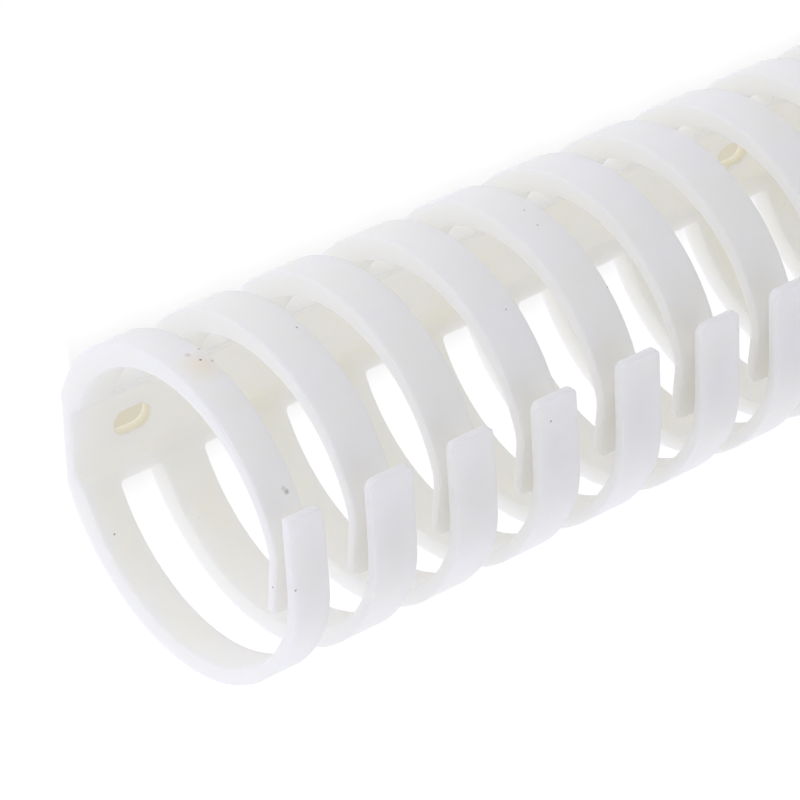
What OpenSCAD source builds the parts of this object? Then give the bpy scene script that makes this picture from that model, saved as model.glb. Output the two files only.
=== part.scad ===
// Flexible slotted cable trunking, a straight length of stock moulded in one piece.
// A flat spine lies on the mounting surface and carries two rows of curved fingers.
// The fingers of one row end in a long outer lip, which laps over the short inner lip
// of the other row, so that cables are pushed in between the two lips.
// X runs along the length, Z rises from the mounting surface, and the origin is the
// middle of the underside.

/* [Stock] */
// Length of the piece
length = 500; // [120:1:1000]
// Width over the two rows of fingers
width = 40; // [36:0.5:44]
// Width that the cut at each end takes off its fingers
end_trim = 1.1; // [0:0.1:3]

/* [Fingers] */
// Width of each finger, along the length
finger_w = 6; // [4:0.1:8]
// Width of the slots between fingers, spread evenly so that both ends are cut through a finger
slot_w = 6.1; // [4:0.1:8]
// Outside radius of the row with the inner lip
inner_row_r = 20.8; // [20:0.1:22]
// Outside radius of the row with the outer lip
outer_row_r = 22.8; // [21.5:0.1:24]
// Thickness of a finger at half height
finger_wall = 2.5; // [2:0.1:3]
// How much thicker a finger is at its root, and thinner at its lip
finger_taper = 1.1; // [0.6:0.05:1.3]

/* [Lips] */
// Angle before the top of the curve at which a lip begins
lip_start = 13; // [8:1:20]
// Thickness at the tip of a lip
lip_t = 1.2; // [0.8:0.1:1.6]
// Length of the inner lip
inner_lip_l = 7.7; // [5:0.1:10]
// Slope of the inner lip, down towards its tip
inner_lip_drop = 6.5; // [2:0.5:9]
// Length of the outer lip
outer_lip_l = 12.7; // [8:0.1:15]
// Slope of the outer lip, down towards its tip
outer_lip_drop = 3.5; // [1:0.5:4]
// Radius of the corners at the tip of a lip
lip_corner_r = 1; // [0.3:0.1:1.8]

/* [Spine] */
// Width of the flat underside, at whose edges the slots end
foot_w = 12.4; // [10:0.2:14]
// Thickness of the spine under its recess
spine_t = 1.8; // [1.4:0.1:2.2]
// Thickness of the spine along the ends of the slots
spine_edge_t = 3.3; // [2.6:0.1:3.4]
// Width of the recess floor along the inside of the spine
recess_w = 8.6; // [7:0.2:10]
// Lean of the recess walls away from upright
recess_lean = 35; // [20:1:45]

/* [Fixing holes] */
// Width of a fixing slot, to clear an M3 screw
hole_w = 3.2; // [2.5:0.1:4.5]
// Length of a fixing slot, end to end
hole_l = 5.2; // [4.6:0.1:8]
// Distance from the end of the piece to the middle of the first fixing slot
first_hole = 8.5; // [6:0.5:30]
// Spacing of the fixing slots
hole_spacing = 95; // [30:1:150]

/* [Hidden] */
$fn = 96;

// Evenly spread rings of fingers, as they are before the ends are cut
uncut_length = length + 2 * end_trim;
gap_count = round((uncut_length - finger_w) / (finger_w + slot_w));
pitch = (uncut_length - finger_w) / gap_count;
hole_count = 1 + floor((length - 2 * first_hole) / hole_spacing);

// A height that clears the spine, and sizes that reach past what is cut
spine_top = row_z(inner_row_r) / 2;
beyond = 2 * width;
overlap = 1;

// Each row's curve passes through the edge of the foot and touches the full width
function row_y(r) = width / 2 - r;
function row_z(r) = sqrt(r * r - pow(foot_w / 2 - row_y(r), 2));

// Where a lip begins on the outer and on the inner curve, and where it ends
function ray(angle) = [sin(angle), cos(angle)];
function lip_outside(r) = [row_y(r), row_z(r)] + r * ray(lip_start);
function inside_reach(r) =
    finger_taper * cos(lip_start) + sqrt(pow(r - finger_wall, 2) - pow(finger_taper * sin(lip_start), 2));
function lip_inside(r) = [row_y(r), row_z(r)] + inside_reach(r) * ray(lip_start);
function lip_end(r, lip_l, drop) = lip_outside(r) - lip_l * [cos(drop), sin(drop)];

// Lays a section drawn in Y and Z along X
module along_x(from, size) {
    translate([from, 0, 0])
        rotate([90, 0, 90])
            linear_extrude(size)
                children();
}

// Disc in the middle of one row, carried on over the other row
module row_disc(r, rise, reach) {
    translate([row_y(r), row_z(r) + rise])
        circle(reach);
    translate([row_y(r) - beyond, spine_top])
        square(beyond);
}

// Section of one row on the +Y side: a tapering curve that runs into its straight lip
module row_section(r, lip_l, drop) {
    tip = lip_end(r, lip_l, drop);
    across = [sin(drop), -cos(drop)];
    under_tip = tip + lip_t * across;
    under = beyond / lip_l * (lip_inside(r) - under_tip);
    difference() {
        intersection() {
            row_disc(r, 0, r);
            polygon([
                [0, 0],
                [0, spine_top],
                tip + 3 * lip_t * across,
                tip,
                tip + beyond * [cos(drop), sin(drop)],
                [beyond, 0]
            ]);
        }
        intersection() {
            row_disc(r, finger_taper, r - finger_wall);
            polygon([under_tip - under, under_tip + under, [beyond, -beyond], [-beyond, -beyond]]);
        }
    }
}

// Recess along the inside of the spine
module recess() {
    recess_top_w = recess_w + 2 * (spine_top - spine_t) * tan(recess_lean);
    polygon([
        [-recess_w / 2, spine_t],
        [recess_w / 2, spine_t],
        [recess_top_w / 2, spine_top],
        [-recess_top_w / 2, spine_top]
    ]);
}

// Section through a ring, both rows and the spine under them
module ring_section() {
    difference() {
        union() {
            row_section(inner_row_r, inner_lip_l, inner_lip_drop);
            mirror([1, 0])
                row_section(outer_row_r, outer_lip_l, outer_lip_drop);
            translate([-foot_w / 2, 0])
                square([foot_w, spine_t]);
        }
        recess();
    }
}

// Section through a slot, where the spine runs on alone
module spine_section() {
    difference() {
        translate([-foot_w / 2, 0])
            square([foot_w, spine_edge_t]);
        recess();
    }
}

// Sharp corners to take off the tip of a lip on the +Y side
module tip_corners(tip) {
    for (side = [0, 1])
        translate([side * finger_w, tip[0], tip[1] - 2 * lip_t])
            mirror([side, 0, 0])
                linear_extrude(3 * lip_t)
                    difference() {
                        translate([-overlap, -overlap])
                            square(lip_corner_r + overlap);
                        translate([lip_corner_r, lip_corner_r])
                            circle(lip_corner_r);
                    }
}

// One ring: a finger on each side of the spine, with the corners of its lips rounded, and
// with nothing past the ends of the piece
module ring(start) {
    from = max(start, -length / 2);
    to = min(start + finger_w, length / 2);
    difference() {
        along_x(from, to - from)
            ring_section();
        translate([start, 0, 0]) {
            tip_corners(lip_end(inner_row_r, inner_lip_l, inner_lip_drop));
            mirror([0, 1, 0])
                tip_corners(lip_end(outer_row_r, outer_lip_l, outer_lip_drop));
        }
    }
}

// Fixing slot through the spine
module fixing_hole() {
    straight = hole_l - hole_w;
    translate([0, 0, -overlap])
        linear_extrude(spine_top) {
            square([straight, hole_w], center = true);
            for (x = [-straight / 2, straight / 2])
                translate([x, 0])
                    circle(hole_w / 2);
        }
}

module trunking() {
    color("#f4f4f2")
        difference() {
            union() {
                along_x(-length / 2, length)
                    spine_section();
                for (i = [0 : gap_count])
                    ring(i * pitch - uncut_length / 2);
            }
            for (i = [0 : hole_count - 1])
                translate([-length / 2 + first_hole + i * hole_spacing, 0, 0])
                    fixing_hole();
        }
}

trunking();
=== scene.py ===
"""Looks of a straight length of flexible slotted cable trunking, laid out as a Blender add-on.

The trunking is one white polypropylene moulding: a recessed spine that carries rings of two curved
fingers, whose lips overlap. The section is drawn once and treated as a bent sheet. One ring is cut
from that sheet with rounded edges, and Geometry Nodes repeat the ring and pierce the spine.
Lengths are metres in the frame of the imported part: X runs along the length, the spine lies on Z = 0,
the fingers with the inner lip stand on the +Y side and those with the outer lip on the -Y side.
"""

import math

import bmesh
import bpy
import numpy as np
from bpy.props import FloatProperty, FloatVectorProperty, IntProperty, PointerProperty
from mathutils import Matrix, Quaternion, Vector


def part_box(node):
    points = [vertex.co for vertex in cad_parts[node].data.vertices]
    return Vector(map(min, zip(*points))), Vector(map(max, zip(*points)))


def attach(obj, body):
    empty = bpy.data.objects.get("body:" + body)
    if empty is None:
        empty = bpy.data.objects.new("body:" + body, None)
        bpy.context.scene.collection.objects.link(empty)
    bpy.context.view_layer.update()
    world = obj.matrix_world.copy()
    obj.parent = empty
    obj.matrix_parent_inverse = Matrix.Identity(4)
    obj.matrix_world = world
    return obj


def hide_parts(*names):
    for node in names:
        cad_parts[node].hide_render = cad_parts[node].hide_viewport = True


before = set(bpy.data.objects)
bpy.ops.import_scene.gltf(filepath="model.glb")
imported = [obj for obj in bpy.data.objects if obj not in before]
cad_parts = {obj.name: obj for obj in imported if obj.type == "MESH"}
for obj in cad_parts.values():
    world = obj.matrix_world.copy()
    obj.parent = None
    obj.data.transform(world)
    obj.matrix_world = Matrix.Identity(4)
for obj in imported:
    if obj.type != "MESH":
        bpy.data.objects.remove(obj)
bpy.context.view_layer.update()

bl_info = {
    "name": "Flexible slotted cable trunking",
    "version": (1, 0, 0),
    "blender": (4, 5, 0),
    "location": "View3D > Sidebar > Trunking",
    "description": "Builds a length of slotted cable trunking and the studio that shows it",
    "category": "Object",
}

MM = 0.001
CAD_LOW, CAD_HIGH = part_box("trunking")
COOL_WHITE = "#f6f6ff"
PLAIN_WHITE = "#ffffff"
# How far in from the ends of the stock its painted shade on the paper stops
SHADE_END_INSET = 2 * MM


def linear(code):
    """An sRGB hex colour as the linear RGBA that Blender's sockets take."""
    channels = [int(code[i:i + 2], 16) / 255 for i in (1, 3, 5)]
    return [c / 12.92 if c <= 0.04045 else ((c + 0.055) / 1.055) ** 2.4 for c in channels] + [1.0]


def add_node(tree, kind, inputs=None, **settings):
    """Adds a node, makes its settings, and gives each input, by name or number, a value or a link."""
    node = tree.nodes.new(kind)
    for name, value in settings.items():
        setattr(node, name, value)
    for key, value in (inputs or {}).items():
        if isinstance(value, bpy.types.NodeSocket):
            tree.links.new(value, node.inputs[key])
        else:
            node.inputs[key].default_value = value
    return node


def math_of(tree, operation, *values):
    """Result of a Math node on numbers or sockets."""
    return add_node(tree, "ShaderNodeMath", dict(enumerate(values)), operation=operation).outputs[0]


def mixed(tree, share, under, over):
    """A colour that goes from one colour to another with a share from 0 to 1."""
    return add_node(tree, "ShaderNodeMix", {0: share, 6: under, 7: over}, data_type="RGBA").outputs[2]


class TrunkingSizes(bpy.types.PropertyGroup):
    """Sizes of the moulding."""

    ring_count: IntProperty(
        name="Rings", description="Rings of two fingers along the length", default=42, min=3)
    end_trim: FloatProperty(
        name="End trim", description="Width that the cut at each end takes off its fingers",
        default=1.1 * MM, unit="LENGTH")
    finger_width: FloatProperty(
        name="Finger width", description="Width of a finger along the length", default=6 * MM, unit="LENGTH")
    inner_row_radius: FloatProperty(
        name="Inner row radius", description="Outside radius of the row with the inner lip",
        default=20.8 * MM, unit="LENGTH")
    outer_row_radius: FloatProperty(
        name="Outer row radius", description="Outside radius of the row with the outer lip",
        default=22.8 * MM, unit="LENGTH")
    finger_wall: FloatProperty(
        name="Finger wall", description="Thickness of a finger at half height",
        default=2.5 * MM, unit="LENGTH")
    finger_taper: FloatProperty(
        name="Finger taper", description="How much a finger thickens to its root and thins to its lip",
        default=1.1 * MM, unit="LENGTH")
    lip_start: FloatProperty(
        name="Lip start", description="Angle before the top at which a lip begins",
        default=math.radians(13), subtype="ANGLE")
    lip_thickness: FloatProperty(
        name="Lip thickness", description="Thickness at the tip of a lip", default=1.2 * MM, unit="LENGTH")
    inner_lip_length: FloatProperty(
        name="Inner lip length", description="Length of the inner lip", default=7.7 * MM, unit="LENGTH")
    inner_lip_drop: FloatProperty(
        name="Inner lip drop", description="Slope of the inner lip",
        default=math.radians(6.5), subtype="ANGLE")
    inner_lip_bend: FloatProperty(
        name="Inner lip bend", description="How far the bend into the inner lip reaches",
        default=1 * MM, unit="LENGTH")
    outer_lip_length: FloatProperty(
        name="Outer lip length", description="Length of the outer lip", default=12.7 * MM, unit="LENGTH")
    outer_lip_drop: FloatProperty(
        name="Outer lip drop", description="Slope of the outer lip",
        default=math.radians(3.5), subtype="ANGLE")
    outer_lip_bend: FloatProperty(
        name="Outer lip bend", description="How far the bend into the outer lip reaches",
        default=3 * MM, unit="LENGTH")
    foot_width: FloatProperty(
        name="Foot width", description="Width of the flat underside, at whose edges the slots end",
        default=12.4 * MM, unit="LENGTH")
    spine_thickness: FloatProperty(
        name="Spine thickness", description="Thickness under the recess", default=1.8 * MM, unit="LENGTH")
    recess_width: FloatProperty(
        name="Recess width", description="Width of the recess floor", default=8.6 * MM, unit="LENGTH")
    recess_lean: FloatProperty(
        name="Recess lean", description="Lean of the recess walls from upright",
        default=math.radians(35), subtype="ANGLE")
    recess_bend: FloatProperty(
        name="Recess bend", description="How far the bends into the recess walls reach",
        default=0.7 * MM, unit="LENGTH")
    edge_radius: FloatProperty(
        name="Edge radius", description="Rounding of every moulded edge", default=0.18 * MM, unit="LENGTH")
    near_corner: FloatProperty(
        name="Near lip corner", description="Corner radius of a lip on its -X side",
        default=1 * MM, unit="LENGTH")
    far_corner: FloatProperty(
        name="Far lip corner", description="Corner radius of a lip on its +X side",
        default=0.8 * MM, unit="LENGTH")
    slot_corner: FloatProperty(
        name="Slot corner", description="Corner radius at the end of a slot", default=0.5 * MM, unit="LENGTH")
    hole_width: FloatProperty(
        name="Fixing slot width", description="Width of a fixing slot", default=3.2 * MM, unit="LENGTH")
    hole_length: FloatProperty(
        name="Fixing slot length", description="Length of a fixing slot", default=5.2 * MM, unit="LENGTH")
    hole_count: IntProperty(
        name="Fixing slots", description="Fixing slots through the spine", default=6, min=1)
    first_hole: FloatProperty(
        name="First fixing slot", description="From the -X end to the first fixing slot",
        default=8.5 * MM, unit="LENGTH")
    hole_spacing: FloatProperty(
        name="Fixing slot spacing", description="Spacing of the fixing slots", default=95 * MM, unit="LENGTH")
    lean: FloatProperty(
        name="Lean", description="Most that an outer lip strays along the length, as soft stock does",
        default=0.8 * MM, unit="LENGTH")
    seed: IntProperty(name="Seed", description="Choice of how the outer lips stray", default=1264)


class TrunkingFinish(bpy.types.PropertyGroup):
    """Colours of the moulding."""

    white: FloatVectorProperty(
        name="White", description="Polypropylene as moulded",
        size=4, subtype="COLOR", default=linear("#f9f8f2"))
    cream: FloatVectorProperty(
        name="Cream", description="Polypropylene where the melt ran slower",
        size=4, subtype="COLOR", default=linear("#f7f5eb"))
    # Painted light: a whiter colour on the fingers' sides and on the cut ends stands in for the light on them
    bright: FloatVectorProperty(
        name="Bright", description="Polypropylene on the fingers' sides and on cut ends, which show whiter",
        size=4, subtype="COLOR", default=linear("#fffdee"))
    # Painted shade: a darker, warmer colour on the walls of the fixing slots stands in for the shade in them
    painted_slot_shade: FloatVectorProperty(
        name="Warm", description="Polypropylene inside the fixing slots, where light comes through it",
        size=4, subtype="COLOR", default=linear("#e8e2d0"))
    scorch: FloatVectorProperty(
        name="Scorch", description="Overheated polypropylene round a burn mark",
        size=4, subtype="COLOR", default=linear("#e6c9a0"))
    char: FloatVectorProperty(
        name="Char", description="Burnt melt in specks and in the middle of a burn mark",
        size=4, subtype="COLOR", default=linear("#3c2f25"))
    # Grime colours the dust specks and a few grey spots
    grime: FloatVectorProperty(
        name="Grime", description="Grey dust in the specks and scuffs",
        size=4, subtype="COLOR", default=linear("#77767c"))


class TrunkingStudio(bpy.types.PropertyGroup):
    """Camera and light."""

    lens: FloatProperty(name="Lens", description="Focal length in millimetres", default=182.9)
    camera_place: FloatVectorProperty(
        name="Camera", description="Place of the camera", subtype="TRANSLATION", unit="LENGTH",
        default=(-0.46453, 0.25383, 0.32806))
    camera_target: FloatVectorProperty(
        name="Target", description="Point in the middle of the picture", subtype="TRANSLATION", unit="LENGTH",
        default=(-0.21656, 0.00092, 0.02))
    camera_roll: FloatProperty(
        name="Roll", description="Turn of the camera about its own axis",
        default=math.radians(122.665), subtype="ANGLE")
    top_light: FloatProperty(
        name="Top light", description="Strength of the tent's light from above", default=1.58)
    back_light: FloatProperty(
        name="Back light", description="Strength of the tent's light on the outer row", default=1.5)
    end_light: FloatProperty(
        name="End light", description="Strength of the tent's light on the -X end and the inner row",
        default=1.97)
    paper_glow: FloatProperty(
        name="Paper glow", description="Light of the white paper that the stock lies on", default=1.08)
    paper_shade: FloatProperty(
        name="Paper shade", description="Share of the paper's look that a shadow can take away", default=0.2)


def row_middle(radius):
    """Centre of a row's outer curve, which passes through the edge of the foot and meets the full width."""
    sizes = bpy.context.scene.trunking_sizes
    y = CAD_HIGH.y - radius
    return np.array([y, math.sqrt(radius ** 2 - (sizes.foot_width / 2 - y) ** 2)])


def towards(angle):
    """Unit vector in the section, as (y, z), leaning by an angle from upright towards +Y."""
    return np.array([math.sin(angle), math.cos(angle)])


def arc(middle, radius, start, end, count):
    """Points on an arc of the section, between two angles from upright."""
    return [middle + radius * towards(angle) for angle in np.linspace(start, end, count)]


def on_arc(middle, radius, y):
    """Angle of the point of an arc's lower half that lies at a given y."""
    return math.pi - math.asin((y - middle[0]) / radius)


def recess_edge(middle, radius):
    """Where the sloping wall of the recess comes up to a row's inner curve."""
    sizes = bpy.context.scene.trunking_sizes
    foot = np.array([sizes.recess_width / 2, sizes.spine_thickness])
    slope = towards(sizes.recess_lean)
    offset = foot - middle
    half = offset @ slope
    return foot + slope * (-half - math.sqrt(half ** 2 - offset @ offset + radius ** 2))


def eased(pairs, corner, reach, steps=4):
    """The section with one corner, on its outside and its inside, eased over a reach to either side."""
    least_length = 1e-9

    def back_to(other):
        away = pairs[other] - pairs[corner]
        lengths = np.linalg.norm(away, axis=1, keepdims=True)
        return pairs[corner] + away * np.minimum(reach / np.maximum(lengths, least_length), 1)

    before, after = back_to(corner - 1), back_to(corner + 1)
    curve = [
        (1 - u) ** 2 * before + 2 * u * (1 - u) * pairs[corner] + u ** 2 * after
        for u in np.linspace(0, 1, steps)
    ]
    return np.concatenate([pairs[:corner], curve, pairs[corner + 1:]])


def row_pairs(radius, lip_length, drop, bend):
    """Half the section, on the +Y side: pairs of an outer and an inner point from the tip of the lip to the
    middle of the spine, and the number of the pair at the end of the slot."""
    sizes = bpy.context.scene.trunking_sizes
    outer_middle = row_middle(radius)
    inner_middle = outer_middle + [0, sizes.finger_taper]
    inner_radius = radius - sizes.finger_wall
    foot = sizes.foot_width / 2
    upright = sizes.finger_taper * math.cos(sizes.lip_start)
    sideways = sizes.finger_taper * math.sin(sizes.lip_start)
    reach = upright + math.sqrt(inner_radius ** 2 - sideways ** 2)
    lip_outside = outer_middle + radius * towards(sizes.lip_start)
    lip_inside = outer_middle + reach * towards(sizes.lip_start)
    tip = lip_outside - lip_length * np.array([math.cos(drop), math.sin(drop)])
    tip_inside = tip + sizes.lip_thickness * np.array([math.sin(drop), -math.cos(drop)])

    lip_shares = [0, 0.3, 0.6, 1 - bend / lip_length, 1]
    outer = [tip + share * (lip_outside - tip) for share in lip_shares]
    inner = [tip_inside + share * (lip_inside - tip_inside) for share in lip_shares]
    corner = len(lip_shares) - 1

    arc_step = math.radians(4)
    outer_start = sizes.lip_start + bend / radius
    outer_end = on_arc(outer_middle, radius, foot)
    count = math.ceil((outer_end - outer_start) / arc_step)
    from_lip = lip_inside - inner_middle
    inner_start = math.atan2(*from_lip) + bend / radius
    outer += arc(outer_middle, radius, outer_start, outer_end, count)
    inner += arc(inner_middle, inner_radius, inner_start, on_arc(inner_middle, inner_radius, foot), count)
    slot_end = len(outer) - 1

    edge = recess_edge(inner_middle, inner_radius)
    beside_hole = sizes.hole_width * 0.7
    spine = [
        ([edge[0], 0], edge),
        ([sizes.recess_width / 2, 0], [sizes.recess_width / 2, sizes.spine_thickness]),
        ([beside_hole, 0], [beside_hole, sizes.spine_thickness]),
        ([0, 0], [0, sizes.spine_thickness]),
    ]
    pairs = np.array(list(zip(outer, inner)) + spine, dtype=float)
    wall_foot, wall_top = slot_end + 2, slot_end + 1
    for sharp in (wall_foot, wall_top):
        pairs = eased(pairs, sharp, sizes.recess_bend)
    bend_steps = 5
    pairs = eased(pairs, corner, bend, bend_steps)
    return pairs, slot_end + bend_steps - 1


class BentSheet:
    """The whole section as a bent sheet, measured along its middle from the inner lip to the outer lip."""

    # Steps round an edge of the sheet: inset and depth as shares of the edge radius, and the side that
    # they are measured from
    DIAGONAL = 1 - math.sqrt(0.5)
    EDGE_STEPS = [
        (1, 0, 0), (DIAGONAL, DIAGONAL, 0), (0, 1, 0),
        (0, 1, 1), (DIAGONAL, DIAGONAL, 1), (1, 0, 1),
    ]
    OUTSIDE, INSIDE = 0, len(EDGE_STEPS) - 1

    def __init__(self):
        sizes = bpy.context.scene.trunking_sizes
        inner_row, inner_slot = row_pairs(
            sizes.inner_row_radius, sizes.inner_lip_length, sizes.inner_lip_drop, sizes.inner_lip_bend)
        outer_row, outer_slot = row_pairs(
            sizes.outer_row_radius, sizes.outer_lip_length, sizes.outer_lip_drop, sizes.outer_lip_bend)
        outer_row = outer_row[::-1] * [-1, 1]
        self.pairs = np.concatenate([inner_row, outer_row[1:]])
        middle = self.pairs.mean(axis=1)
        steps = np.linalg.norm(np.diff(middle, axis=0), axis=1)
        self.stations = np.concatenate([[0], np.cumsum(steps)])
        self.length = self.stations[-1]
        self.slot_ends = self.stations[inner_slot], self.stations[len(self.pairs) - 1 - outer_slot]
        self.edge = sizes.edge_radius

    def point(self, along, x, step):
        """A point of the sheet, so far along its section and at x, at one of the steps round an edge."""
        outer, inner = (
            np.array([np.interp(along, self.stations, self.pairs[:, side, axis]) for axis in (0, 1)])
            for side in (0, 1)
        )
        _, depth, side = self.EDGE_STEPS[step]
        share = depth * self.edge / np.linalg.norm(inner - outer)
        y, z = outer + (inner - outer) * (1 - share if side else share)
        return x, y, z


class RingCutter:
    """Cuts one ring from the sheet: a finger on each side of the spine, and half a slot's length of spine on
    each side that has a slot. The other side is an end of the stock, cut square through the ring.
    A border point is (along, x, inward along, inward x)."""

    CORNER_STEPS = 4
    REACH = "outer_finger_reach"
    SAME_PLACE = 0.001 * MM

    def __init__(self, sheet, near_slot, far_slot):
        sizes = bpy.context.scene.trunking_sizes
        self.sheet, self.near_slot, self.far_slot = sheet, near_slot, far_slot
        width, trim, cut_corner = sizes.finger_width, sizes.end_trim, sheet.edge
        half_slot = (ring_pitch() - width) / 2
        self.near_end, self.far_end = -half_slot, width + half_slot
        self.near_side, self.far_side = (0 if near_slot else trim), (width if far_slot else width - trim)
        self.near_corner = sizes.near_corner if near_slot else cut_corner
        self.far_corner = sizes.far_corner if far_slot else cut_corner
        self.slot_corner = sizes.slot_corner
        self.mesh = bmesh.new()
        self.reach = self.mesh.verts.layers.float.new(self.REACH)
        self.known = {}

    def vertex(self, along, x, step):
        """The vertex at a place on the sheet, made once, with its share of the outer finger's length."""
        place = self.sheet.point(along, x, step)
        key = tuple(round(value / self.SAME_PLACE) for value in place)
        if key not in self.known:
            self.known[key] = self.mesh.verts.new(place)
            slot_end = self.sheet.slot_ends[1]
            self.known[key][self.reach] = max(0, (along - slot_end) / (self.sheet.length - slot_end))
        return self.known[key]

    def face(self, corners):
        """A face from (along, x, step) corners, without the ones that fall together."""
        found = []
        for corner in corners:
            vertex = self.vertex(*corner)
            if vertex not in found:
                found.append(vertex)
        if len(found) > 2:
            self.mesh.faces.new(found)

    def patch(self, corners):
        """The same patch, from (along, x) corners, on the outside and on the inside of the sheet."""
        self.face([(along, x, self.sheet.OUTSIDE) for along, x in reversed(corners)])
        self.face([(along, x, self.sheet.INSIDE) for along, x in corners])

    def inset(self, border_point):
        """Where the flat of the sheet begins beside a border point."""
        along, x, inward_along, inward_x = border_point
        return along + self.sheet.edge * inward_along, x + self.sheet.edge * inward_x

    def rim(self, border):
        """The rounded edge along a border, which has the sheet on its left."""
        for start, end in zip(border, border[1:]):
            for step in range(len(self.sheet.EDGE_STEPS) - 1):
                self.face([
                    self.edge_corner(start, step), self.edge_corner(end, step),
                    self.edge_corner(end, step + 1), self.edge_corner(start, step + 1),
                ])

    def edge_corner(self, border_point, step):
        """A corner for a face beside a border point, at one of the steps round the edge."""
        along, x, inward_along, inward_x = border_point
        inset = self.sheet.EDGE_STEPS[step][0] * self.sheet.edge
        return along + inset * inward_along, x + inset * inward_x, step

    def finger_side(self, tip, slot_end, far):
        """Border of a finger on one side, from its tip round the corner of the lip, along the finger and
        round the corner of the slot."""
        sign = 1 if slot_end > tip else -1
        length = abs(slot_end - tip)
        if far:
            side, inward, corner, has_slot = self.far_side, -1, self.far_corner, self.far_slot
        else:
            side, inward, corner, has_slot = self.near_side, 1, self.near_corner, self.near_slot
        turns = np.linspace(0, math.pi / 2, self.CORNER_STEPS)
        points = []
        for turn in turns:
            points.append((corner * (1 - math.cos(turn)), side + inward * corner * (1 - math.sin(turn)),
                           math.cos(turn), inward * math.sin(turn)))
        least_step = 0.2 * MM
        first = max(self.near_corner, self.far_corner) + least_step
        last = length - self.slot_corner - least_step
        for station in self.sheet.stations[::sign]:
            distance = sign * (station - tip)
            if first < distance < last:
                points.append((distance, side, 0, inward))
        for turn in turns:
            if has_slot:
                points.append((length - self.slot_corner * (1 - math.sin(turn)),
                               side - inward * self.slot_corner * (1 - math.cos(turn)),
                               math.sin(turn), inward * math.cos(turn)))
            else:
                reach = (self.slot_corner + self.sheet.edge) * math.sin(turn)
                points.append((length - self.slot_corner + reach, side, 0, inward))
        return [(tip + sign * along, x, sign * inward_along, inward_x)
                for along, x, inward_along, inward_x in points]

    def finger(self, tip, slot_end):
        """One finger. Returns its border on the near and on the far side, from tip to root."""
        near, far = (self.finger_side(tip, slot_end, side) for side in (False, True))
        for i in range(len(near) - 1):
            patch = [self.inset(p) for p in (near[i], near[i + 1], far[i + 1], far[i])]
            self.patch(patch if slot_end > tip else patch[::-1])
        return near, far

    def cut(self):
        """The ring's mesh, open only where the spine runs on."""
        sheet = self.sheet
        start, end = sheet.slot_ends
        first, last = start + sheet.edge, end - sheet.edge
        inner_near, inner_far = self.finger(0, start)
        outer_near, outer_far = self.finger(sheet.length, end)

        least_step = 0.1 * MM
        between = [s for s in sheet.stations if first + least_step < s < last - least_step]
        lines = [first] + between + [last]
        if self.near_slot:
            near_lines = (self.near_end, self.near_side - self.slot_corner)
        else:
            near_lines = (self.near_side + sheet.edge,)
        if self.far_slot:
            far_lines = (self.far_side + self.slot_corner, self.far_end)
        else:
            far_lines = (self.far_side - sheet.edge,)
        columns = near_lines + far_lines
        for a, b in zip(lines, lines[1:]):
            for c, d in zip(columns, columns[1:]):
                self.patch([(a, c), (b, c), (b, d), (a, d)])

        inner_border = inner_far[::-1] + inner_near
        outer_border = outer_near[::-1] + outer_far
        if self.near_slot:
            inner_border = inner_border + [(start, self.near_end, 1, 0)]
            outer_border = [(end, self.near_end, -1, 0)] + outer_border
        if self.far_slot:
            inner_border = [(start, self.far_end, 1, 0)] + inner_border
            outer_border = outer_border + [(end, self.far_end, -1, 0)]
        if not self.near_slot:
            across = [(along, self.near_side, 0, 1) for along in lines[1:-1]]
            self.rim(inner_border + across + outer_border)
        elif not self.far_slot:
            across = [(along, self.far_side, 0, -1) for along in lines[-2:0:-1]]
            self.rim(outer_border + across + inner_border)
        else:
            self.rim(inner_border)
            self.rim(outer_border)
        return mesh_from(self.mesh, "ring")


def mesh_from(shape, name):
    """A mesh from a bmesh, which is then freed."""
    mesh = bpy.data.meshes.new(name)
    shape.to_mesh(mesh)
    shape.free()
    return mesh


def ring_pitch():
    """Spacing of the rings, which spreads them evenly so that both ends are cut through a finger."""
    sizes = bpy.context.scene.trunking_sizes
    uncut_length = CAD_HIGH.x - CAD_LOW.x + 2 * sizes.end_trim
    return (uncut_length - sizes.finger_width) / (sizes.ring_count - 1)


def fixing_slot_cutter():
    """What a fixing slot takes out of the spine: an oblong with its two mouths flared by the edge radius."""
    sizes = bpy.context.scene.trunking_sizes
    edge, top = sizes.edge_radius, sizes.spine_thickness
    radius = sizes.hole_width / 2
    straight = (sizes.hole_length - sizes.hole_width) / 2
    past_face, halfway = 1 * MM, edge * 0.3
    levels = [(-past_face, edge), (0, edge), (halfway, halfway), (edge, 0)]
    levels += [(top - z, flare) for z, flare in reversed(levels)]
    end_points = 13
    turns = np.linspace(-math.pi / 2, math.pi / 2, end_points)
    shape = bmesh.new()
    loops = []
    for z, flare in levels:
        half = [(straight + (radius + flare) * math.cos(t), (radius + flare) * math.sin(t)) for t in turns]
        loop = half + [(-x, -y) for x, y in half]
        loops.append([shape.verts.new((x, y, z)) for x, y in loop])
    for low, high in zip(loops, loops[1:]):
        for i, corner in enumerate(low):
            shape.faces.new([low[i - 1], corner, high[i], high[i - 1]])
    shape.faces.new(loops[0][::-1])
    shape.faces.new(loops[-1])
    return mesh_from(shape, "fixing_slot")


RING_TREE_INPUTS = {
    "First ring": "NodeSocketObject",
    "Middle ring": "NodeSocketObject",
    "Last ring": "NodeSocketObject",
    "Fixing slot": "NodeSocketObject",
    "Start": "NodeSocketFloat",
    "Ring count": "NodeSocketInt",
    "Pitch": "NodeSocketFloat",
    "Lean": "NodeSocketFloat",
    "Seed": "NodeSocketInt",
    "Hole count": "NodeSocketInt",
    "First hole": "NodeSocketFloat",
    "Hole spacing": "NodeSocketFloat",
    "Material": "NodeSocketMaterial",
}


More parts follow.
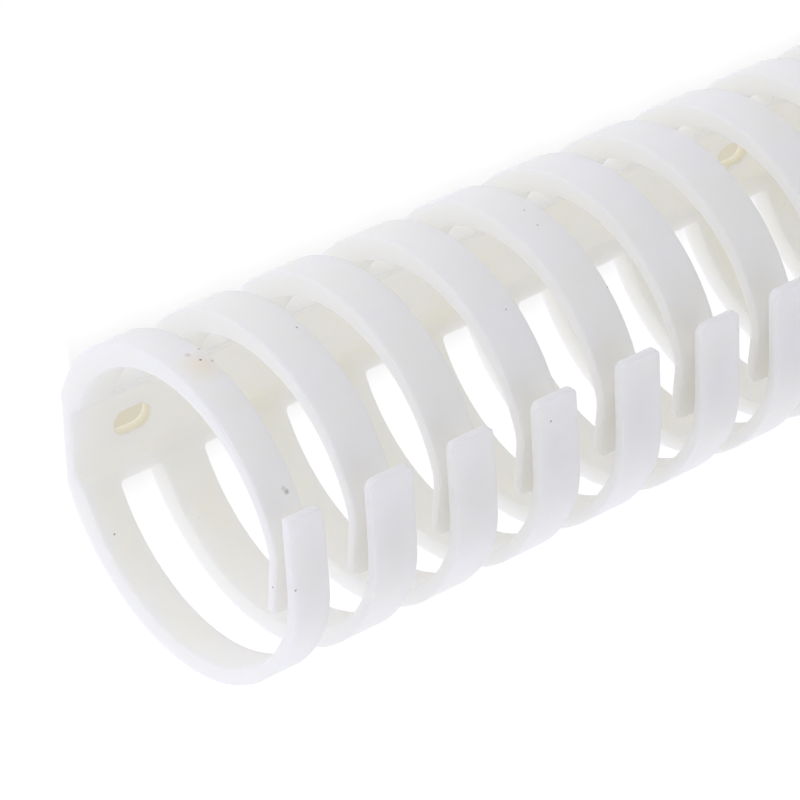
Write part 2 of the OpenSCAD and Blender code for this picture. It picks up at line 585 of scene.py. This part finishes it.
def ring_tree():
    """Geometry Nodes that set the rings along the spine, weld them, let the outer lips stray a little and
    pierce the fixing slots."""
    tree = bpy.data.node_groups.new("Rings along the spine", "GeometryNodeTree")
    tree.interface.new_socket("Geometry", in_out="OUTPUT", socket_type="NodeSocketGeometry")
    for name, kind in RING_TREE_INPUTS.items():
        tree.interface.new_socket(name, in_out="INPUT", socket_type=kind)
    given = add_node(tree, "NodeGroupInput").outputs

    def row_of_points(count, start, spacing):
        place = add_node(tree, "ShaderNodeCombineXYZ", {"X": start}).outputs[0]
        step = add_node(tree, "ShaderNodeCombineXYZ", {"X": spacing}).outputs[0]
        return add_node(tree, "GeometryNodeMeshLine", {
            "Count": count, "Start Location": place, "Offset": step}).outputs[0]

    def instances(points, name, chosen=None):
        shape = add_node(tree, "GeometryNodeObjectInfo", {"Object": given[name], "As Instance": True})
        inputs = {"Points": points, "Instance": shape.outputs["Geometry"]}
        if chosen is not None:
            inputs["Selection"] = chosen
        return add_node(tree, "GeometryNodeInstanceOnPoints", inputs).outputs[0]

    index = add_node(tree, "GeometryNodeInputIndex").outputs[0]
    last_index = math_of(tree, "SUBTRACT", given["Ring count"], 1)
    half_step = 0.5
    is_first = math_of(tree, "LESS_THAN", index, half_step)
    is_last = math_of(tree, "GREATER_THAN", index, math_of(tree, "SUBTRACT", last_index, half_step))
    is_middle = math_of(tree, "SUBTRACT", 1, math_of(tree, "ADD", is_first, is_last))
    points = row_of_points(given["Ring count"], given["Start"], given["Pitch"])
    joined = add_node(tree, "GeometryNodeJoinGeometry")
    for name, chosen in (("First ring", is_first), ("Middle ring", is_middle), ("Last ring", is_last)):
        tree.links.new(instances(points, name, chosen), joined.inputs[0])
    rings = add_node(tree, "GeometryNodeRealizeInstances", {0: joined.outputs[0]}).outputs[0]
    weld_distance = 0.002 * MM
    welded = add_node(tree, "GeometryNodeMergeByDistance", {
        "Geometry": rings, "Distance": weld_distance}).outputs[0]

    reach = add_node(tree, "GeometryNodeInputNamedAttribute", {
        "Name": RingCutter.REACH}, data_type="FLOAT").outputs["Attribute"]
    place = add_node(tree, "ShaderNodeSeparateXYZ", {
        0: add_node(tree, "GeometryNodeInputPosition").outputs[0]}).outputs
    along = math_of(tree, "SUBTRACT", place["X"], given["Start"])
    # A ring's stretch of spine begins half a slot before its finger, which is about a quarter of the pitch
    half_slot_share = 0.25
    pitches = math_of(tree, "ADD", math_of(tree, "DIVIDE", along, given["Pitch"]), half_slot_share)
    ring = math_of(tree, "FLOOR", pitches)
    stray = add_node(tree, "FunctionNodeRandomValue", {
        2: -1, 3: 1, "ID": ring, "Seed": given["Seed"]}, data_type="FLOAT").outputs[1]
    bend_power = 2
    share = math_of(tree, "MULTIPLY", math_of(tree, "POWER", reach, bend_power), given["Lean"])
    offset = add_node(tree, "ShaderNodeCombineXYZ", {"X": math_of(tree, "MULTIPLY", stray, share)}).outputs[0]
    leaning = add_node(tree, "GeometryNodeSetPosition", {"Geometry": welded, "Offset": offset}).outputs[0]

    hole_points = row_of_points(given["Hole count"], given["First hole"], given["Hole spacing"])
    holes = add_node(tree, "GeometryNodeRealizeInstances", {
        0: instances(hole_points, "Fixing slot")}).outputs[0]
    pierced = add_node(tree, "GeometryNodeMeshBoolean", {
        "Mesh 1": leaning, "Mesh 2": holes}, operation="DIFFERENCE", solver="EXACT").outputs["Mesh"]
    whole = add_node(tree, "GeometryNodeRealizeInstances", {0: pierced}).outputs[0]
    finished = add_node(tree, "GeometryNodeSetMaterial", {
        "Geometry": whole, "Material": given["Material"]}).outputs[0]
    add_node(tree, "NodeGroupOutput", {0: finished})
    return tree


# Marks that overheated melt left, and a few grey spots: a place in millimetres, a radius, how far it fades,
# also in millimetres, and how strong it is
SCORCHED = [
    ((-246.3, 19.7, 23.4), 0.4, 2.6, 0.3),
    ((-246.3, 19.8, 22.5), 0.1, 0.55, 0.4),
    ((-245.2, 19.6, 23.3), 0.15, 0.5, 0.55),
    ((-245.1, 19.9, 20.8), 0.1, 0.3, 0.5),
]
CHARRED = [
    ((-246.3, 19.8, 22.5), 0.07, 0.12, 0.9),
    ((-245.3, 19.6, 23.3), 0.05, 0.2, 0.35),
    ((-245.2, 19.9, 20.8), 0.08, 0.15, 0.6),
    ((-249.9, 1.7, 42.92), 0.06, 0.1, 0.8),
    ((-227.7, 4.9, 42.72), 0.06, 0.1, 0.8),
    ((-213.2, 7.6, 42.56), 0.06, 0.1, 0.8),
    ((-208.8, 13.1, 35.1), 0.06, 0.1, 0.8),
    ((-196.8, 14.5, 33.6), 0.06, 0.1, 0.7),
    ((-195.0, 14.4, 33.7), 0.06, 0.1, 0.6),
    ((-234.0, 19.6, 23.8), 0.06, 0.1, 0.8),
    ((-198.6, 19.9, 21.2), 0.05, 0.1, 0.6),
    ((-199.2, 19.5, 24.2), 0.05, 0.1, 0.6),
    ((-210.4, 16.1, 31.7), 0.05, 0.1, 0.5),
    ((-248.4, -10.5, 6.7), 0.06, 0.1, 0.7),
]
GREY_SPOTS = [
    ((-246.4, 10.1, 37.3), 0.12, 0.3, 0.6),
    ((-246.6, 10.5, 37.1), 0.1, 0.3, 0.35),
    ((-246.9, 19.9, 21.0), 0.1, 0.35, 0.3),
]


def empty_material(name):
    """A new material, and its tree without nodes."""
    material = bpy.data.materials.new(name)
    material.use_nodes = True
    material.node_tree.nodes.clear()
    return material, material.node_tree


def moulded_polypropylene():
    """White polypropylene, injection moulded.

    The melt copies a fine spark-eroded mould, so the skin has a soft satin sheen and no sharp reflection.
    The wall lets a little light through, which keeps the hollows well lit and makes them warmer. Slow melt
    leaves faint creamy clouds, and overheated melt leaves dark specks and a few scorched marks. The fingers'
    sides and the cut ends get painted light, a whiter colour, and the walls of the fixing slots get painted
    shade, a warmer and darker colour."""
    finish = bpy.context.scene.trunking_finish
    material, tree = empty_material("moulded_white_polypropylene")
    place = add_node(tree, "ShaderNodeTexCoord").outputs["Object"]

    def noise(size, detail):
        return add_node(tree, "ShaderNodeTexNoise", {
            "Vector": place, "Scale": 1 / size, "Detail": detail}).outputs["Fac"]

    def fade(value, low, high):
        return add_node(tree, "ShaderNodeMapRange", {
            "Value": value, "From Min": low, "From Max": high, "To Min": 1, "To Max": 0}).outputs["Result"]

    def marked(marks):
        """How strongly the marks of one kind show, from 0 to 1."""
        share = 0
        for middle, radius, softness, strength in marks:
            distance = add_node(tree, "ShaderNodeVectorMath", {
                0: place, 1: Vector(middle) * MM}, operation="DISTANCE").outputs["Value"]
            spot = math_of(tree, "MULTIPLY", fade(distance, radius * MM, (radius + softness) * MM), strength)
            share = math_of(tree, "MAXIMUM", spot, share)
        return share

    def painted_slot_shade_mask():
        """1 on the walls of the fixing slots, where painted shade makes the colour warmer and darker, and 0
        elsewhere.
        """
        sizes = bpy.context.scene.trunking_sizes
        at = add_node(tree, "ShaderNodeSeparateXYZ", {0: place}).outputs
        radius, half_spacing = sizes.hole_width / 2, sizes.hole_spacing / 2
        straight = sizes.hole_length / 2 - radius
        from_first = math_of(tree, "SUBTRACT", at["X"], CAD_LOW.x + sizes.first_hole)
        from_nearest = math_of(tree, "WRAP", from_first, half_spacing, -half_spacing)
        from_nearest = math_of(tree, "ABSOLUTE", from_nearest)
        past_straight = math_of(tree, "MAXIMUM", math_of(tree, "SUBTRACT", from_nearest, straight), 0)
        across = add_node(tree, "ShaderNodeCombineXYZ", {"X": past_straight, "Y": at["Y"]}).outputs[0]
        distance = add_node(tree, "ShaderNodeVectorMath", {0: across}, operation="LENGTH").outputs["Value"]
        beside = fade(distance, radius, radius + sizes.edge_radius)
        mouth_depth = 0.3 * MM
        below_mouth = fade(at["Z"], sizes.spine_thickness - mouth_depth, sizes.spine_thickness)
        return math_of(tree, "MULTIPLY", beside, below_mouth)

    def painted_side_light_mask():
        """1 on faces square to the length, where painted light makes the colour whiter, and 0 on faces along
        it.
        """
        normal = add_node(tree, "ShaderNodeTexCoord").outputs["Normal"]
        along = add_node(tree, "ShaderNodeSeparateXYZ", {0: normal}).outputs["X"]
        side_low, side_high = 0.6, 0.95
        return math_of(tree, "SUBTRACT", 1, fade(math_of(tree, "ABSOLUTE", along), side_low, side_high))

    cloud_size, cloud_low, cloud_high = 9 * MM, 0.35, 0.7
    clouds = fade(noise(cloud_size, detail=3), cloud_low, cloud_high)
    colour = mixed(tree, clouds, finish.white, finish.cream)
    # Painted light: faces square to the length, the fingers' sides and the cut ends, get a whiter colour
    colour = mixed(tree, painted_side_light_mask(), colour, finish.bright)
    # Painted shade: the walls of the fixing slots get a darker, warmer colour
    colour = mixed(tree, painted_slot_shade_mask(), colour, finish.painted_slot_shade)

    speck_cell, speck_radius = 5 * MM, 0.13 * MM
    speck_core, speck_rarity = 0.4 * speck_radius, 3
    cells = add_node(tree, "ShaderNodeTexVoronoi", {"Vector": place, "Scale": 1 / speck_cell})
    chance = add_node(tree, "ShaderNodeSeparateColor", {0: cells.outputs["Color"]}).outputs[0]
    speck = fade(cells.outputs["Distance"], speck_core / speck_cell, speck_radius / speck_cell)
    specks = math_of(tree, "MULTIPLY", speck, math_of(tree, "POWER", chance, speck_rarity))
    colour = mixed(tree, specks, colour, finish.grime)
    colour = mixed(tree, marked(SCORCHED), colour, finish.scorch)
    # A few grey spots get the grime colour
    colour = mixed(tree, marked(GREY_SPOTS), colour, finish.grime)
    colour = mixed(tree, marked(CHARRED), colour, finish.char)

    grain_size, wave_size, grain_share = 0.3 * MM, 5 * MM, 0.15
    waves = noise(wave_size, detail=1)
    height = math_of(tree, "MULTIPLY_ADD", noise(grain_size, detail=2), grain_share, waves)
    bump = add_node(tree, "ShaderNodeBump", {
        "Strength": 0.15, "Distance": 0.05 * MM, "Height": height}).outputs[0]
    roughness = add_node(tree, "ShaderNodeMapRange", {
        "Value": waves, "To Min": 0.38, "To Max": 0.5}).outputs["Result"]
    skin = add_node(tree, "ShaderNodeBsdfPrincipled", {
        "Base Color": colour, "Roughness": roughness, "IOR": 1.49, "Normal": bump,
        "Subsurface Weight": 1, "Subsurface Radius": (1, 0.93, 0.8), "Subsurface Scale": 5 * MM})
    add_node(tree, "ShaderNodeOutputMaterial", {"Surface": skin.outputs[0]})
    return material


def place_object(name, mesh):
    """A new object at the origin, in the scene."""
    piece = bpy.data.objects.new(name, mesh)
    bpy.context.scene.collection.objects.link(piece)
    return piece


def evaluated_mesh(piece):
    """The mesh that an object's modifiers give, as a plain mesh."""
    shown = piece.evaluated_get(bpy.context.evaluated_depsgraph_get())
    return bpy.data.meshes.new_from_object(shown)


class TRUNKING_OT_build_moulding(bpy.types.Operator):
    """Model the trunking's one moulding: rings of fingers on a pierced spine"""

    bl_idname = "trunking.build_moulding"
    bl_label = "Build the moulding"

    def execute(self, context):
        sizes = context.scene.trunking_sizes
        sheet = BentSheet()
        slots_beside = {
            "First ring": (False, True),
            "Middle ring": (True, True),
            "Last ring": (True, False),
        }
        patterns = {
            name: place_object(name, RingCutter(sheet, *slots).cut())
            for name, slots in slots_beside.items()
        }
        patterns["Fixing slot"] = place_object("Fixing slot", fixing_slot_cutter())
        values = dict(patterns)
        values.update({
            "Start": CAD_LOW.x - sizes.end_trim,
            "Ring count": sizes.ring_count,
            "Pitch": ring_pitch(),
            "Lean": sizes.lean,
            "Seed": sizes.seed,
            "Hole count": sizes.hole_count,
            "First hole": CAD_LOW.x + sizes.first_hole,
            "Hole spacing": sizes.hole_spacing,
            "Material": moulded_polypropylene(),
        })
        piece = place_object("trunking_moulding", bpy.data.meshes.new("trunking_moulding"))
        tree = ring_tree()
        modifier = piece.modifiers.new("Rings", "NODES")
        modifier.node_group = tree
        for item in tree.interface.items_tree:
            if item.in_out == "INPUT":
                modifier[item.identifier] = values[item.name]
        piece.data = evaluated_mesh(piece)
        piece.modifiers.clear()
        for pattern in patterns.values():
            bpy.data.objects.remove(pattern)

        sharp_angle = math.radians(50)
        piece.data.shade_smooth()
        piece.data.set_sharp_from_angle(angle=sharp_angle)
        weighting = piece.modifiers.new("Weighted normals", "WEIGHTED_NORMAL")
        weighting.keep_sharp = True
        piece.data = evaluated_mesh(piece)
        piece.modifiers.clear()
        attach(piece, "root")
        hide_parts("trunking")
        return {"FINISHED"}


class TRUNKING_OT_build_stage(bpy.types.Operator):
    """Set up the white floor, the light tent and the camera"""

    bl_idname = "trunking.build_stage"
    bl_label = "Build the stage"

    def execute(self, context):
        scene = context.scene
        scene.view_settings.view_transform = "Standard"
        shade_side_inset = 0.5 * MM
        shade_length = CAD_HIGH.x - CAD_LOW.x - 2 * SHADE_END_INSET
        shade_width = scene.trunking_sizes.foot_width - 2 * shade_side_inset
        floor_size, floor_height, shade_height = 6, -0.05 * MM, -0.02 * MM
        for name, shape, material in (
            ("floor", flat_sheet(floor_size, floor_size, floor_height), white_paper()),
            # A sheet of painted shade under the spine, just above the floor
            ("shaded_floor", flat_sheet(shade_length, shade_width, shade_height), painted_shade_paper()),
        ):
            paper = place_object(name, shape)
            paper.data.materials.append(material)
        light_tent()
        place_camera()
        return {"FINISHED"}


def seen_directly(tree):
    """1 for rays that show the background itself, to the camera or in a reflection, and 0 for its light."""
    path = add_node(tree, "ShaderNodeLightPath").outputs
    seen = path["Is Camera Ray"]
    for name in ("Is Glossy Ray", "Is Transmission Ray"):
        seen = math_of(tree, "MAXIMUM", seen, path[name])
    return seen


def white_paper():
    """Matt white paper, lit so evenly that it shows white, with a faint shadow of what lies on it, partly
    real and partly painted: the paper shows darker and glows less beside the foot.
    """
    studio = bpy.context.scene.trunking_studio
    foot = bpy.context.scene.trunking_sizes.foot_width / 2
    material, tree = empty_material("matt_white_paper")
    place = add_node(tree, "ShaderNodeTexCoord").outputs["Object"]
    from_middle = add_node(tree, "ShaderNodeVectorMath", {0: place}, operation="ABSOLUTE").outputs[0]
    end_steepness, shade_end = 10, CAD_HIGH.x - SHADE_END_INSET
    beyond = add_node(tree, "ShaderNodeVectorMath", {
        0: from_middle, 1: (end_steepness, 1, 0), 2: (-end_steepness * shade_end, -foot, 0)},
        operation="MULTIPLY_ADD").outputs[0]
    beyond = add_node(tree, "ShaderNodeSeparateXYZ", {0: beyond}).outputs
    aside = math_of(tree, "MAXIMUM", beyond["X"], beyond["Y"])
    shade_reach = 7 * MM

    def beside_foot(at_foot, away):
        """A strength that rises from the edge of the foot to the end of the stock's painted shade."""
        return add_node(tree, "ShaderNodeMapRange", {
            "Value": aside, "From Min": 0, "From Max": shade_reach,
            "To Min": at_foot, "To Max": away}).outputs["Result"]

    paper = add_node(tree, "ShaderNodeBsdfDiffuse", {"Color": linear("#fafafa")}).outputs[0]
    seen = seen_directly(tree)
    colour = mixed(tree, seen, linear(COOL_WHITE), linear(PLAIN_WHITE))
    # Away from the foot, the paper's own light and the tent's light on it together show as plain white
    # Painted shadow: nearer the foot the paper shows darker, and its glow on the stock is dimmer
    painted_shadow_at_foot, shown_away = 0.86, 1.1
    painted_shade_glow_at_foot = 0.9 * studio.paper_glow
    strength = add_node(tree, "ShaderNodeMix", {
        0: seen,
        2: beside_foot(painted_shade_glow_at_foot, studio.paper_glow),
        3: beside_foot(painted_shadow_at_foot, shown_away)}).outputs[0]
    glow = add_node(tree, "ShaderNodeEmission", {"Color": colour, "Strength": strength}).outputs[0]
    lit = add_node(tree, "ShaderNodeMixShader", {0: studio.paper_shade, 1: glow, 2: paper}).outputs[0]
    add_node(tree, "ShaderNodeOutputMaterial", {"Surface": lit})
    return material


def painted_shade_paper():
    """The same paper under the spine, with the stock's shade on it painted as a dim beige glow. It shows in
    the fixing slots.
    """
    material, tree = empty_material("painted_shade_paper")
    # Painted shade: to the camera the sheet shows a dim beige, and its light is a little dimmer than the open
    # paper's
    colour = mixed(tree, seen_directly(tree), linear("#f4f2ec"), linear("#d8d1be"))
    glow = add_node(tree, "ShaderNodeEmission", {"Color": colour, "Strength": 1}).outputs[0]
    add_node(tree, "ShaderNodeOutputMaterial", {"Surface": glow})
    return material


def flat_sheet(length, width, height):
    """A mesh of one level rectangle about the origin."""
    shape = bmesh.new()
    corners = (-1, -1), (1, -1), (1, 1), (-1, 1)
    shape.faces.new([shape.verts.new((a * length / 2, b * width / 2, height)) for a, b in corners])
    return mesh_from(shape, "sheet")


def light_tent():
    """A soft white tent round the object, brighter on some sides, which shows as plain white."""
    studio = bpy.context.scene.trunking_studio
    world = bpy.data.worlds.new("light_tent")
    bpy.context.scene.world = world
    world.use_nodes = True
    tree = world.node_tree
    tree.nodes.clear()
    direction = add_node(tree, "ShaderNodeTexCoord").outputs["Generated"]
    bright_sides = {
        (0.5, -0.5, 1): studio.top_light,
        (-0.5, -1, -0.1): studio.back_light,
        (-1, 1, 0): studio.end_light,
    }
    focus = 3
    strength = 0
    for side, most in bright_sides.items():
        facing = add_node(tree, "ShaderNodeVectorMath", {
            0: direction, 1: Vector(side).normalized()}, operation="DOT_PRODUCT").outputs["Value"]
        soft = math_of(tree, "POWER", math_of(tree, "MAXIMUM", facing, 0), focus)
        strength = math_of(tree, "MULTIPLY_ADD", soft, most, strength)
    tent = add_node(tree, "ShaderNodeBackground", {
        "Color": linear(COOL_WHITE), "Strength": strength}).outputs[0]
    plain = add_node(tree, "ShaderNodeBackground", {
        "Color": linear(PLAIN_WHITE), "Strength": 1}).outputs[0]
    shown = add_node(tree, "ShaderNodeMixShader", {0: seen_directly(tree), 1: tent, 2: plain}).outputs[0]
    add_node(tree, "ShaderNodeOutputWorld", {"Surface": shown})


def place_camera():
    """The camera of the photograph: a long lens, turned so that the stock runs to the upper right."""
    studio = bpy.context.scene.trunking_studio
    data = bpy.data.cameras.new("camera")
    data.sensor_width = 36
    data.lens = studio.lens
    camera = place_object("camera", data)
    camera.location = studio.camera_place
    look = Vector(studio.camera_target) - Vector(studio.camera_place)
    roll = Quaternion((0, 0, 1), studio.camera_roll)
    camera.rotation_mode = "QUATERNION"
    camera.rotation_quaternion = look.to_track_quat("-Z", "Y") @ roll
    bpy.context.scene.camera = camera


class TRUNKING_PT_panel(bpy.types.Panel):
    """The trunking's sizes, finish and studio, with the operators that build them"""

    bl_idname = "TRUNKING_PT_panel"
    bl_label = "Cable trunking"
    bl_space_type = "VIEW_3D"
    bl_region_type = "UI"
    bl_category = "Trunking"

    def draw(self, context):
        scene = context.scene
        for group in (scene.trunking_sizes, scene.trunking_finish, scene.trunking_studio):
            box = self.layout.box()
            for name in group.__annotations__:
                box.prop(group, name)
        self.layout.operator(TRUNKING_OT_build_moulding.bl_idname)
        self.layout.operator(TRUNKING_OT_build_stage.bl_idname)


CLASSES = (
    TrunkingSizes,
    TrunkingFinish,
    TrunkingStudio,
    TRUNKING_OT_build_moulding,
    TRUNKING_OT_build_stage,
    TRUNKING_PT_panel,
)


def register():
    for cls in CLASSES:
        bpy.utils.register_class(cls)
    bpy.types.Scene.trunking_sizes = PointerProperty(type=TrunkingSizes)
    bpy.types.Scene.trunking_finish = PointerProperty(type=TrunkingFinish)
    bpy.types.Scene.trunking_studio = PointerProperty(type=TrunkingStudio)


def unregister():
    del bpy.types.Scene.trunking_studio
    del bpy.types.Scene.trunking_finish
    del bpy.types.Scene.trunking_sizes
    for cls in reversed(CLASSES):
        bpy.utils.unregister_class(cls)


def main():
    register()
    bpy.ops.trunking.build_moulding()
    bpy.ops.trunking.build_stage()


if __name__ == "__main__":
    main()
